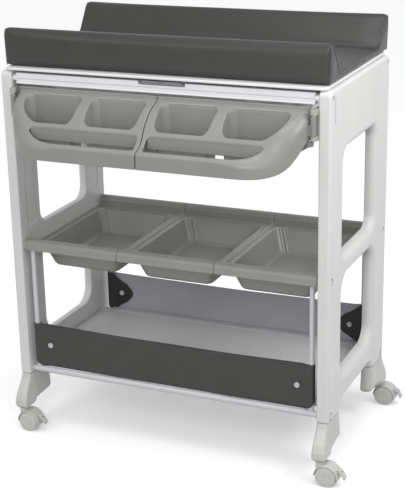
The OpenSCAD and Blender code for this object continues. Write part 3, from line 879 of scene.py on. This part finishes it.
def bath_field(x, y, z):
    """Bath: a tapered basin with a flat rim and a flat floor, which has a drain hole."""
    part = np.clip((896 - z) / 154, -0.1, 1.1)
    half_x, half_y = 346 - 84 * part, 180 - 62 * part
    outside = both(both(both(abs(x) - half_x - 4, abs(y) - half_y - 4, 62), 741 - z, 16), z - 897)
    rim = both(both(abs(x) - 370, abs(y) - 193, 20), slab(z, 894, 898), 1.6)
    inside = both(both(abs(x) - half_x, abs(y) - half_y, 60), 745 - z, 16)
    body = cut(either(outside, rim, 3), inside, 3)
    return cut(body, length(x - DRAIN_X, y) - 14, 1)


bath = surface("bath_basin", bath_field, (-372, -195, 739), (372, 195, 900), (2.2, 2.2, 1.6), 0.15)
show(bath, "frame", "bath", BATH)

PLUG_LINE = [
    (0, 738), (12.6, 738), (13.6, 739), (13.6, 745.3), (18, 745.3), (19, 746.5), (18.5, 749), (6, 749.6),
    (4, 751), (3.4, 755), (4, 757.5), (3, 759), (0, 759),
]
plug = lathe("bath_plug_bung", rounded_line(PLUG_LINE, 2), (DRAIN_X, 0, 0), "z", 48)
show(plug, "bath_plug", "bath_plug", PLUG)


def floor_field(x, y, z):
    """Shelf floor: a shallow pressed panel with a soft rim."""
    wide = both(abs(x) - 371, abs(y) - 184, 4)
    deep = both(abs(x) - 347, abs(y) - 193, 4)
    body = either(both(wide, slab(z, 165, 177), 1.5), both(deep, slab(z, 159.8, 177), 1.5), 1)
    under = both(both(abs(x) - 343, abs(y) - 186, 4), z - 173, 1)
    body = cut(body, under, 0.8)
    sunk = both(both(abs(x) - 330, abs(y) - 170, 18), 176 - z)
    return cut(body, sunk, 1.0)


FLOOR_STEP = (2.4, 2.4, 1.4)
floor_panel = surface("shelf_floor_panel", floor_field, (-373, -195, 158), (373, 195, 179), FLOOR_STEP, 0.2)
show(floor_panel, "frame", "shelf_floor", SHELF)

# ---------------------------------------------------------------------------------------------
# Mat
# ---------------------------------------------------------------------------------------------

MAT_MIDDLE = -2.5
MAT_HALF = 394.5
MAT_BASE = 916
MAT_LINE = [
    (-198, MAT_BASE), (-198, 990), (-193, 1003), (-183, 1004.5), (-175, 997), (-131, 935), (-112, 928.5),
    (-60, 930.5), (17, 932.5), (90, 931), (146, 928.5), (164, 935), (207, 996), (215, 1004), (225, 1003),
    (230, 991), (230, MAT_BASE),
]


def mat_half(z):
    """Half width of the mat, which spreads a little towards the top."""
    return MAT_HALF + 2.5 * (z - MAT_BASE) / 88


def mat_profile(y, z):
    """Section of the mat, seen from its end."""
    return polygon(y, z, MAT_LINE)


def mat_field(x, y, z):
    """Mat before it is inflated: wedge walls and a low middle."""
    corner = np.interp(z, [MAT_BASE, 945], [0.8, 5])
    return both(mat_profile(y + 0 * x, z + 0 * x), abs(x - MAT_MIDDLE) - mat_half(z), corner)


def inflate(obj, pinned, pressure, cap, frames=20):
    """Blows up a closed mesh with the Cloth modifier and moves no point by more than cap, in metres."""
    start = np.zeros(len(obj.data.vertices) * 3)
    obj.data.vertices.foreach_get("co", start)
    group = obj.vertex_groups.new(name="pinned")
    group.add([int(i) for i in np.nonzero(pinned)[0]], 1.0, "REPLACE")
    cloth = obj.modifiers.new("cloth", "CLOTH")
    cloth.settings.use_pressure = True
    cloth.settings.uniform_pressure_force = pressure
    cloth.settings.vertex_group_mass = "pinned"
    cloth.settings.effector_weights.gravity = 0.0
    cloth.settings.quality = 5
    cloth.settings.tension_stiffness = 40
    cloth.settings.compression_stiffness = 40
    cloth.settings.bending_stiffness = 2.0
    cloth.point_cache.frame_start = 1
    cloth.point_cache.frame_end = frames
    scene = bpy.context.scene
    for number in range(1, frames + 1):
        scene.frame_set(number)
    apply_modifiers(obj)
    scene.frame_set(1)
    end = np.zeros(len(start))
    obj.data.vertices.foreach_get("co", end)
    move = (end - start).reshape(-1, 3)
    size = np.linalg.norm(move, axis=1)[:, None]
    move *= cap * np.tanh(size / cap) / np.maximum(size, 1e-9)
    obj.data.vertices.foreach_set("co", (start + move.ravel()))
    obj.vertex_groups.clear()
    return obj


def mat():
    obj = surface("changing_mat_pad", mat_field, (-402, -202, 913), (402, 234, 1010), 7.0)
    co = np.zeros(len(obj.data.vertices) * 3)
    obj.data.vertices.foreach_get("co", co)
    place = (co.reshape(-1, 3) - ORIGIN) * 1000
    edge = abs(mat_profile(place[:, 1], place[:, 2]))
    at_end = abs(place[:, 0] - MAT_MIDDLE) > mat_half(place[:, 2]) - 6
    pinned = (place[:, 2] < MAT_BASE + 2) | (at_end & (edge < 4))
    inflate(obj, pinned, 4.0, 0.004)
    smooth = obj.modifiers.new("smooth", "SUBSURF")
    smooth.levels = 1
    smooth.render_levels = 1
    apply_modifiers(obj)
    for face in obj.data.polygons:
        face.use_smooth = True
    return obj


pad = mat()
show(pad, "changing_top", "changing_mat", MAT)


# Welded seams round the mat's ends: beads coloured lighter than the mat, as a painted highlight on the end
# edges.
for side_name, way in SIDES.items():
    y, z = dense(MAT_LINE, 4).T
    slope_y = mat_profile(y + 0.5, z) - mat_profile(y - 0.5, z)
    slope_z = mat_profile(y, z + 0.5) - mat_profile(y, z - 0.5)
    y, z = y - 2.2 * slope_y, z - 2.2 * slope_z
    x = MAT_MIDDLE + way * (mat_half(z) - 1.0)
    seam = bead(f"mat_seam_{side_name}", np.stack([x, y, z], axis=1), 1.1)
    show(seam, "changing_top", None, SEAM_HIGHLIGHT)

# ---------------------------------------------------------------------------------------------
# Soft panels of the shelf
# ---------------------------------------------------------------------------------------------

POST_X = 357.0
PANEL_HEM = 163.5
PANEL_CORNER = 26
STUD_PLACE = (322.0, 220.0)
TAB_NOSE = 290
TAB_ROOT = 348


def panel_path():
    """Plan of the front panel's sheet from the middle round the right post to the tab's nose."""
    points = [(x, -TUBE_Y - 0.4) for x in np.linspace(0, POST_X - 14, 60)]
    turn = 7.6
    for angle in np.linspace(-120, 120, 25):
        a = math.radians(angle)
        points.append((POST_X + turn * math.cos(a), -TUBE_Y + turn * math.sin(a)))
    points += [(x, -TUBE_Y + 3.0) for x in np.linspace(POST_X - 12, TAB_NOSE, 26)]
    points = np.array(points)
    for _ in range(3):
        points[1:-1] = (points[:-2] + 2 * points[1:-1] + points[2:]) / 4
    return points


def tab_half_height(x):
    """Half height of the ear-shaped tab at x, about the stud's height."""
    reach = np.clip((x - TAB_NOSE) / (TAB_ROOT - TAB_NOSE), 0, 1)
    return 52.0 * reach ** 1.6 * 0.62 + 21.0 * np.sqrt(np.clip(reach * 3.2, 0, 1))


def soft_panel(name, flip_y):
    """A sheet stretched between the posts, folded round them and held by press studs."""
    path = panel_path()
    path = np.concatenate([path[:0:-1] * (-1, 1), path])
    levels = [*np.linspace(0, 0.983, 26), 1.0]
    rows = len(levels)
    points, faces = [], []
    for x, y in path:
        folded = y > -TUBE_Y + 2.2 and abs(x) < POST_X - 8
        curve = np.clip(abs(x) - POST_X + 18.4, 0, PANEL_CORNER)
        low = PANEL_HEM + PANEL_CORNER - math.sqrt(PANEL_CORNER * PANEL_CORNER - curve * curve)
        high = 272 + 4 * (x / POST_X) ** 2
        if folded:
            half = tab_half_height(abs(x))
            low, high = max(low, STUD_PLACE[1] - half), min(high, STUD_PLACE[1] + half)
        for part in levels:
            z = low + (high - low) * part
            near = math.exp(-((abs(x) - STUD_PLACE[0]) ** 2 + (z - STUD_PLACE[1]) ** 2) / 700)
            wave = 0.5 * math.sin(x / 31) * math.sin(math.pi * part) * (1 - near)
            edge = 0.9 * math.sin(x / 47 + 1.3) * (2 * part - 1) ** 4
            out = 0.0 if abs(x) > POST_X - 16 else wave + edge
            points.append((x, y + (out if not folded else 0.25 * out), z))
    for i in range(len(path) - 1):
        for k in range(rows - 1):
            a = i * rows + k
            faces.append((a, a + rows, a + rows + 1, a + 1))
    obj = mesh_object(name, np.array(points) * (1, -1 if flip_y else 1, 1), faces)
    if flip_y:
        obj.data.flip_normals()
    thick = obj.modifiers.new("thick", "SOLIDIFY")
    thick.thickness = 0.0012
    thick.offset = 0
    thick.material_offset = 1
    obj.data.materials.append(PANEL)
    obj.data.materials.append(LINING)
    apply_modifiers(obj)
    for face in obj.data.polygons:
        face.use_smooth = True
    return obj


for name, flip in (("front", False), ("rear", True)):
    sheet = soft_panel(f"{name}_panel_sheet", flip)
    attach(sheet, "frame")
    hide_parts(f"{name}_panel", f"{name}_panel_tabs")
    # The hem bead is coloured lighter than the panel, as a painted highlight along the hem.
    hem_line = [(x, -TUBE_Y - 1.2, 266 + 4 * (x / POST_X) ** 2) for x in np.linspace(-340, 340, 60)]
    hem = bead(f"{name}_panel_hem", np.array(hem_line) * (1, -1 if flip else 1, 1), 0.7, sides=6)
    show(hem, "frame", None, SEAM_HIGHLIGHT)

# ---------------------------------------------------------------------------------------------
# Carried-over CAD nodes
# ---------------------------------------------------------------------------------------------

# The tubes and posts take the darker copy of the tube coat, as painted shade.
CAD_FINISHES = {
    TUBE_PAINTED_SHADE: ["tray_front_tube", "tray_rear_tube", "shelf_front_tube", "shelf_rear_tube"]
          + [f"post_{corner}" for corner in CORNERS],
    SOCKET: ["tube_sockets_left", "tube_sockets_right"],
    STEEL: ["frame_screws_left", "frame_screws_right", "hinge_pin_left", "hinge_pin_right", "lid_leaves",
            "lid_knuckles"] + [f"castor_axle_{corner}" for corner in CORNERS],
    WHITE: ["bath_ledges"],
    STUD: ["press_studs"],
}
for material, names in CAD_FINISHES.items():
    for name in names:
        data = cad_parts[name].data
        data.materials.clear()
        data.materials.append(material)

# ---------------------------------------------------------------------------------------------
# Stage, light and camera
# ---------------------------------------------------------------------------------------------

bpy.ops.mesh.primitive_plane_add(size=40, location=(0, 0, 0))
ground = bpy.context.active_object
ground.name = "ground"
ground_material, ground_tree, ground_shader = shader("pale_ground", (0.92, 0.92, 0.92), 0.9)
ground_shader.inputs["Emission Color"].default_value = (1, 1, 1, 1)
ground_shader.inputs["Emission Strength"].default_value = 0.17
ground.data.materials.append(ground_material)
ground.visible_diffuse = False

world = bpy.data.worlds.new("studio")
bpy.context.scene.world = world
world.use_nodes = True
sky = world.node_tree
way_out = node(sky, "ShaderNodeTexCoord")
parts = node(sky, "ShaderNodeSeparateXYZ")
fade = node(sky, "ShaderNodeMapRange")
for socket, value in (("From Min", -0.5), ("From Max", 0.5), ("To Min", 0.4), ("To Max", 0.86)):
    fade.inputs[socket].default_value = value
sky.links.new(way_out.outputs["Generated"], parts.inputs["Vector"])
sky.links.new(parts.outputs["Z"], fade.inputs["Value"])
sky.links.new(fade.outputs["Result"], sky.nodes["Background"].inputs["Strength"])
sky.nodes["Background"].inputs["Color"].default_value = (1, 1, 1, 1)


def softbox(name, place, size, power, aim=(0, 0, 0.5)):
    light = bpy.data.lights.new(name, "AREA")
    light.energy = power
    light.size = size
    obj = bpy.data.objects.new(name, light)
    obj.location = place
    obj.rotation_euler = (Vector(aim) - Vector(place)).to_track_quat("-Z", "Y").to_euler()
    bpy.context.scene.collection.objects.link(obj)


softbox("side", (1.35, -0.2, 1.5), 0.7, 10, (0.4, 0, 1.0))
softbox("front", (0.5, -2.4, 1.5), 1.0, 20, (0, -0.2, 0.9))
softbox("front_left", (-1.3, -2.4, 2.3), 0.7, 8, (0, -0.2, 0.6))
softbox("top", (0.3, -0.6, 2.4), 1.0, 9)

camera = bpy.data.cameras.new("camera")
camera.lens = 97.36
camera.sensor_width = 36
camera.shift_x = 0.0687
camera.shift_y = 0.0099
camera_object = bpy.data.objects.new("camera", camera)
turn = Matrix.Rotation(math.radians(25.32), 4, "Z")
turn = turn @ Matrix.Rotation(math.radians(90 - 19.05), 4, "X")
turn = turn @ Matrix.Rotation(math.radians(-1.70), 4, "Z")
camera_object.matrix_world = Matrix.Translation(Vector((1.2701, -2.8707, 1.5164)) + Vector(ORIGIN)) @ turn
bpy.context.scene.collection.objects.link(camera_object)
bpy.context.scene.camera = camera_object
bpy.context.scene.view_settings.view_transform = "Standard"
